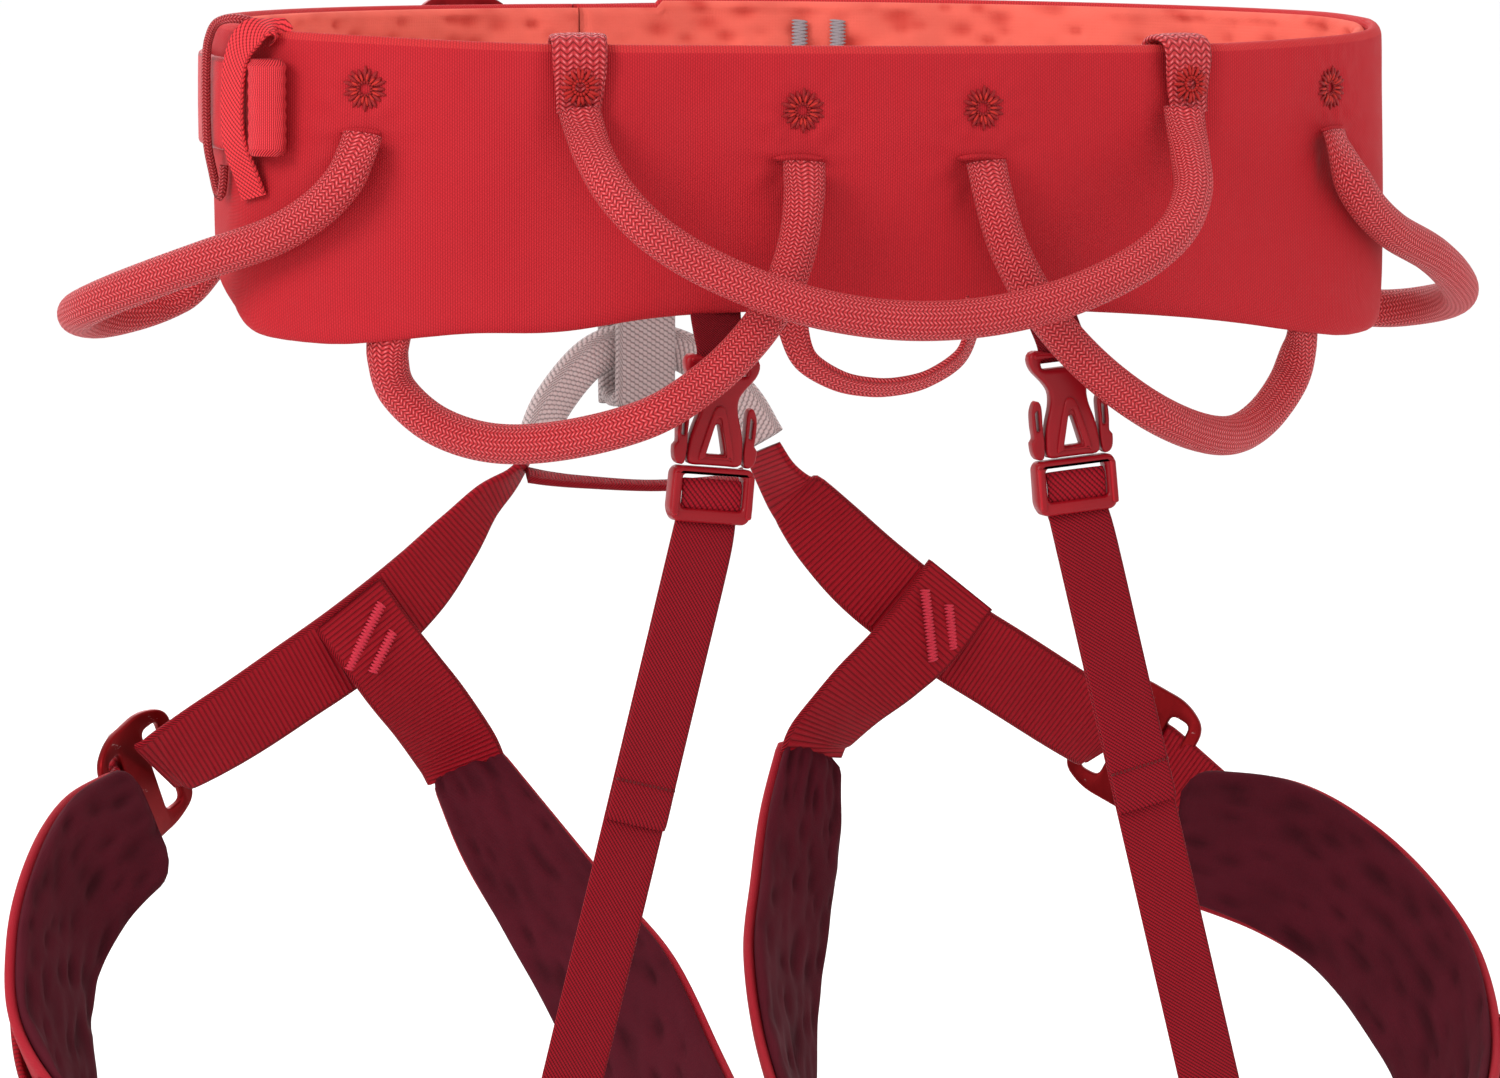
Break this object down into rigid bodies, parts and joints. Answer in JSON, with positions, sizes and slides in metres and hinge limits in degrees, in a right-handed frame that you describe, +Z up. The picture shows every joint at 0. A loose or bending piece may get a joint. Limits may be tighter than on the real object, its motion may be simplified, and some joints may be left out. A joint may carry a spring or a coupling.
{
  "type": "climbing harness",
  "caption": "Padded climbing harness with a waist belt, braided gear loops, grey belay and tie-in loops, side-release rear risers and adjustable padded leg loops.",
  "frame": {"origin": "middle of the waist opening at the belt's mid-height", "axes": "+Z up towards the wearer's chest, -Y towards the wearer's back, +X to the wearer's right"},
  "size_m": [0.4486, 0.2621, 0.4078],
  "materials": {
    "belay_loop": "woven webbing",
    "belt_inner_lining": "soft dimpled knit",
    "belt_outer_shell": "woven stretch fabric",
    "bridge_strap": "ribbed webbing",
    "centre_loop_tab_left": "braided sheath",
    "centre_loop_tab_right": "braided sheath",
    "gear_loop_centre": "braided sheath",
    "gear_loop_rear_left": "braided sheath",
    "gear_loop_rear_right": "braided sheath",
    "gear_loop_side_left": "braided sheath",
    "gear_loop_side_right": "braided sheath",
    "haul_loop": "braided sheath",
    "leg_adjuster_web_left": "ribbed webbing",
    "leg_adjuster_web_right": "ribbed webbing",
    "leg_buckle_bar_left": "polished",
    "leg_buckle_bar_right": "polished",
    "leg_buckle_plate_left": "red anodised",
    "leg_buckle_plate_right": "red anodised",
    "leg_keeper_left": "stretch fabric",
    "leg_keeper_right": "stretch fabric",
    "leg_pad_lining_left": "soft dimpled knit",
    "leg_pad_lining_right": "soft dimpled knit",
    "leg_pad_outer_left": "stretch fabric",
    "leg_pad_outer_right": "stretch fabric",
    "leg_web_front_left": "ribbed webbing",
    "leg_web_front_right": "ribbed webbing",
    "leg_web_inner_left": "ribbed webbing",
    "leg_web_inner_right": "ribbed webbing",
    "lower_tie_in_loop": "woven webbing",
    "riser_arm_left_inner": "moulded acetal",
    "riser_arm_left_outer": "moulded acetal",
    "riser_arm_right_inner": "moulded acetal",
    "riser_arm_right_outer": "moulded acetal",
    "riser_elastic_left": "twill elastic",
    "riser_elastic_right": "twill elastic",
    "riser_fold_left": "twill elastic",
    "riser_fold_right": "twill elastic",
    "riser_frame_left": "moulded acetal",
    "riser_frame_right": "moulded acetal",
    "riser_receiver_left": "moulded acetal",
    "riser_receiver_right": "moulded acetal",
    "riser_top_strap_left": "twill elastic",
    "riser_top_strap_right": "twill elastic",
    "tail_keeper_ribbon": "ribbed webbing",
    "tool_loop_cord": "thin covered cord",
    "upper_tie_in_loop": "woven webbing",
    "waist_buckle_bar": "polished",
    "waist_buckle_plate": "red anodised",
    "waist_web": "ribbed webbing",
    "waist_web_tail": "ribbed webbing"
  },
  "bodies": {
    "waist_belt": {"belt_inner_lining": "belt_inner_lining", "belt_outer_shell": "belt_outer_shell", "bridge_strap": "bridge_strap", "centre_loop_tab_left": "centre_loop_tab_left", "centre_loop_tab_right": "centre_loop_tab_right", "lower_tie_in_loop": "lower_tie_in_loop", "riser_elastic_left": "riser_elastic_left", "riser_elastic_right": "riser_elastic_right", "riser_receiver_left": "riser_receiver_left", "riser_receiver_right": "riser_receiver_right", "riser_top_strap_left": "riser_top_strap_left", "riser_top_strap_right": "riser_top_strap_right", "tail_keeper_ribbon": "tail_keeper_ribbon", "tool_loop_cord": "tool_loop_cord", "upper_tie_in_loop": "upper_tie_in_loop", "waist_web": "waist_web", "waist_web_tail": "waist_web_tail"},
    "gear_loop_centre": {"gear_loop_centre": "gear_loop_centre"},
    "gear_loop_rear_left": {"gear_loop_rear_left": "gear_loop_rear_left"},
    "gear_loop_rear_right": {"gear_loop_rear_right": "gear_loop_rear_right"},
    "gear_loop_side_left": {"gear_loop_side_left": "gear_loop_side_left"},
    "gear_loop_side_right": {"gear_loop_side_right": "gear_loop_side_right"},
    "haul_loop": {"haul_loop": "haul_loop"},
    "belay_loop": {"belay_loop": "belay_loop"},
    "waist_buckle": {"waist_buckle_plate": "waist_buckle_plate", "waist_buckle_bar": "waist_buckle_bar"},
    "riser_end_left": {"riser_frame_left": "riser_frame_left", "riser_fold_left": "riser_fold_left"},
    "riser_arm_left_inner": {"riser_arm_left_inner": "riser_arm_left_inner"},
    "riser_arm_left_outer": {"riser_arm_left_outer": "riser_arm_left_outer"},
    "leg_left": {"leg_pad_outer_left": "leg_pad_outer_left", "leg_pad_lining_left": "leg_pad_lining_left", "leg_web_front_left": "leg_web_front_left", "leg_web_inner_left": "leg_web_inner_left", "leg_adjuster_web_left": "leg_adjuster_web_left", "leg_keeper_left": "leg_keeper_left"},
    "leg_buckle_left": {"leg_buckle_plate_left": "leg_buckle_plate_left", "leg_buckle_bar_left": "leg_buckle_bar_left"},
    "riser_end_right": {"riser_frame_right": "riser_frame_right", "riser_fold_right": "riser_fold_right"},
    "riser_arm_right_inner": {"riser_arm_right_inner": "riser_arm_right_inner"},
    "riser_arm_right_outer": {"riser_arm_right_outer": "riser_arm_right_outer"},
    "leg_right": {"leg_pad_outer_right": "leg_pad_outer_right", "leg_pad_lining_right": "leg_pad_lining_right", "leg_web_front_right": "leg_web_front_right", "leg_web_inner_right": "leg_web_inner_right", "leg_adjuster_web_right": "leg_adjuster_web_right", "leg_keeper_right": "leg_keeper_right"},
    "leg_buckle_right": {"leg_buckle_plate_right": "leg_buckle_plate_right", "leg_buckle_bar_right": "leg_buckle_bar_right"}
  },
  "joints": [
    {"name": "centre_gear_loop_lift", "type": "hinge", "parent": "waist_belt", "child": "gear_loop_centre", "pos_m": [-0.086, -0.0595, 0.0172], "axis": [-0.9999, 0, 0.014], "range_deg": [0, 75]},
    {"name": "rear_gear_loop_lift_left", "type": "hinge", "parent": "waist_belt", "child": "gear_loop_rear_left", "pos_m": [-0.026, -0.0665, 0.00336], "axis": [-0.8545, 0.3037, -0.4214], "range_deg": [0, 7]},
    {"name": "side_gear_loop_lift_left", "type": "hinge", "parent": "waist_belt", "child": "gear_loop_side_left", "pos_m": [-0.1415, -0.038, 0.00898], "axis": [-0.1761, 0.8852, -0.4306], "range_deg": [0, 38]},
    {"name": "rear_gear_loop_lift_right", "type": "hinge", "parent": "waist_belt", "child": "gear_loop_rear_right", "pos_m": [0.026, -0.0665, 0.00264], "axis": [-0.8458, -0.3006, 0.4407], "range_deg": [0, 7]},
    {"name": "side_gear_loop_lift_right", "type": "hinge", "parent": "waist_belt", "child": "gear_loop_side_right", "pos_m": [0.1415, -0.038, 0.00502], "axis": [-0.1757, -0.8833, 0.4346], "range_deg": [0, 38]},
    {"name": "haul_loop_swing", "type": "hinge", "parent": "waist_belt", "child": "haul_loop", "pos_m": [0, -0.057, -0.0388], "axis": [-1, 0, 0], "range_deg": [-35, 45]},
    {"name": "belay_loop_swing", "type": "hinge", "parent": "waist_belt", "child": "belay_loop", "pos_m": [0, 0.154, 0.0115], "axis": [1, 0, 0], "range_deg": [-1.8, 1.8]},
    {"name": "riser_release_left", "type": "slide", "parent": "waist_belt", "child": "riser_end_left", "axis": [-0.0941, 0, -0.9956], "range_m": [0, 0.014]},
    {"name": "riser_squeeze_left_inner", "type": "hinge", "parent": "riser_end_left", "child": "riser_arm_left_inner", "pos_m": [-0.04108, -0.065, -0.07906], "axis": [0, -1, 0], "range_deg": [0, 4], "stiffness_Nm_per_rad": 0.01},
    {"name": "riser_squeeze_left_outer", "type": "hinge", "parent": "riser_end_left", "child": "riser_arm_left_outer", "pos_m": [-0.06198, -0.065, -0.07708], "axis": [0, 1, 0], "range_deg": [0, 4], "stiffness_Nm_per_rad": 0.01},
    {"name": "leg_swing_left", "type": "hinge", "parent": "waist_belt", "child": "leg_left", "pos_m": [-0.038, 0.142, -0.096], "axis": [1, 0, 0], "range_deg": [-8, 12], "stiffness_Nm_per_rad": 0.8, "springref_deg": -4.82, "deforming": ["riser_elastic_left"]},
    {"name": "leg_buckle_tilt_left", "type": "hinge", "parent": "leg_left", "child": "leg_buckle_left", "pos_m": [-0.151, 0.1455, -0.181], "axis": [0.3722, 0.2995, -0.8785], "range_deg": [0, 18]},
    {"name": "riser_release_right", "type": "slide", "parent": "waist_belt", "child": "riser_end_right", "axis": [0.0941, 0, -0.9956], "range_m": [0, 0.014]},
    {"name": "riser_squeeze_right_inner", "type": "hinge", "parent": "riser_end_right", "child": "riser_arm_right_inner", "pos_m": [0.04108, -0.065, -0.07906], "axis": [0, 1, 0], "range_deg": [0, 4], "stiffness_Nm_per_rad": 0.01},
    {"name": "riser_squeeze_right_outer", "type": "hinge", "parent": "riser_end_right", "child": "riser_arm_right_outer", "pos_m": [0.06198, -0.065, -0.07708], "axis": [0, -1, 0], "range_deg": [0, 4], "stiffness_Nm_per_rad": 0.01},
    {"name": "leg_swing_right", "type": "hinge", "parent": "waist_belt", "child": "leg_right", "pos_m": [0.038, 0.142, -0.096], "axis": [1, 0, 0], "range_deg": [-8, 12], "stiffness_Nm_per_rad": 0.8, "springref_deg": -4.82, "deforming": ["riser_elastic_right"]},
    {"name": "leg_buckle_tilt_right", "type": "hinge", "parent": "leg_right", "child": "leg_buckle_right", "pos_m": [0.151, 0.1455, -0.181], "axis": [-0.3722, 0.2995, -0.8785], "range_deg": [0, 18]},
    {"name": "waist_buckle_tilt", "type": "hinge", "parent": "waist_belt", "child": "waist_buckle", "pos_m": [-0.05932, 0.13308, 0.022], "axis": [0, 0, 1], "range_deg": [0, 12]}
  ]
}
